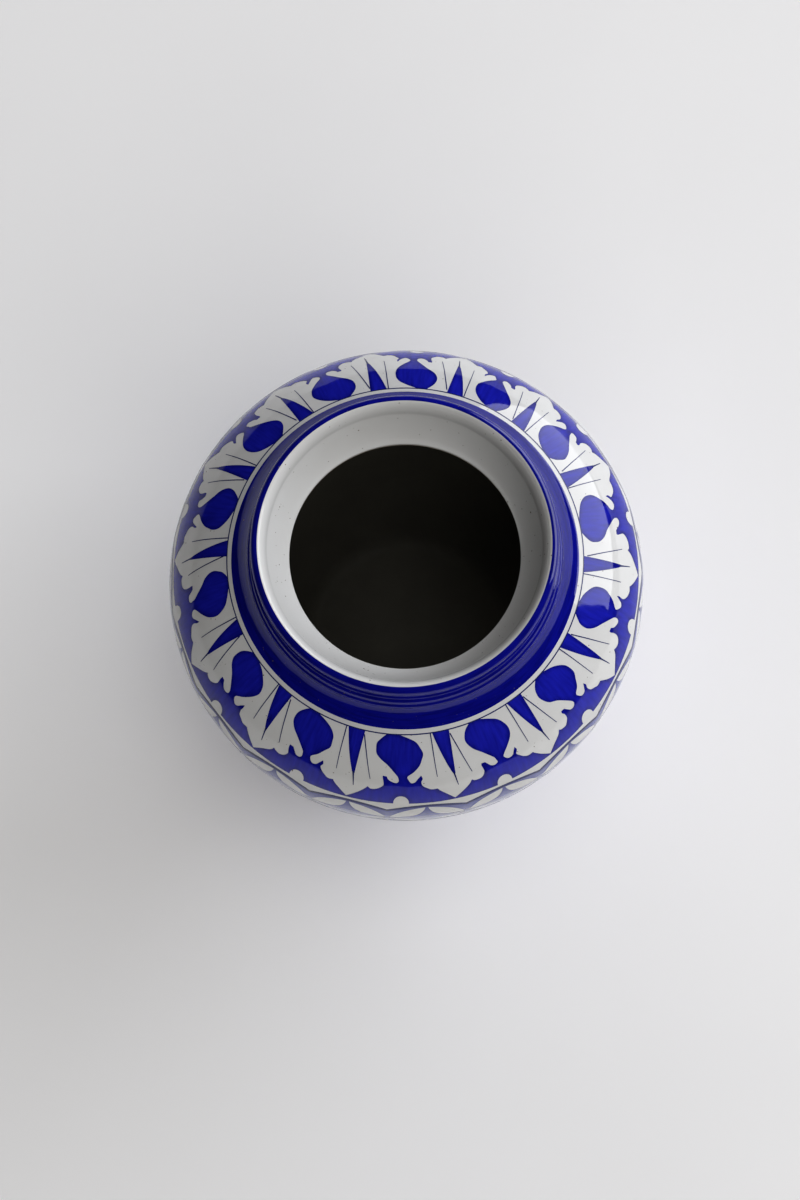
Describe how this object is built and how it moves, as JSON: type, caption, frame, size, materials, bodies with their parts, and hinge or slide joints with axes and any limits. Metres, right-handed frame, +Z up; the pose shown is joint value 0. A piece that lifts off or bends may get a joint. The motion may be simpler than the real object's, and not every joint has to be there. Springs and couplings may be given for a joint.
{
  "type": "footed jar with a short neck",
  "caption": "Round-shouldered pottery jar with a short flaring neck, rolled lip and turned foot ring, open at the top.",
  "frame": {"origin": "middle of the foot, on the resting plane", "axes": "+Z up along the jar's axis, from the foot to the mouth"},
  "size_m": [0.24, 0.24, 0.258],
  "materials": {
    "white_glaze": "glossy clear glaze over a white body",
    "cobalt_glaze": "glossy clear glaze over brushed cobalt blue",
    "bare_clay": "unglazed, matt and slightly gritty",
    "dried_slip": "fired joining slip, matt",
    "dark_coat": "dark poured inner coat, satin"
  },
  "bodies": {
    "root": {"foot_ring": "bare_clay", "foot_slip": "dried_slip", "lower_body": "white_glaze", "base_disc": "bare_clay", "base_slip": "dried_slip", "upper_body": "white_glaze", "belly_slip": "dried_slip", "neck_collar": "cobalt_glaze", "neck_slip": "dried_slip", "mouth_rim": "cobalt_glaze", "lip_slip": "dried_slip", "inner_lining": "dark_coat"}
  },
  "joints": []
}
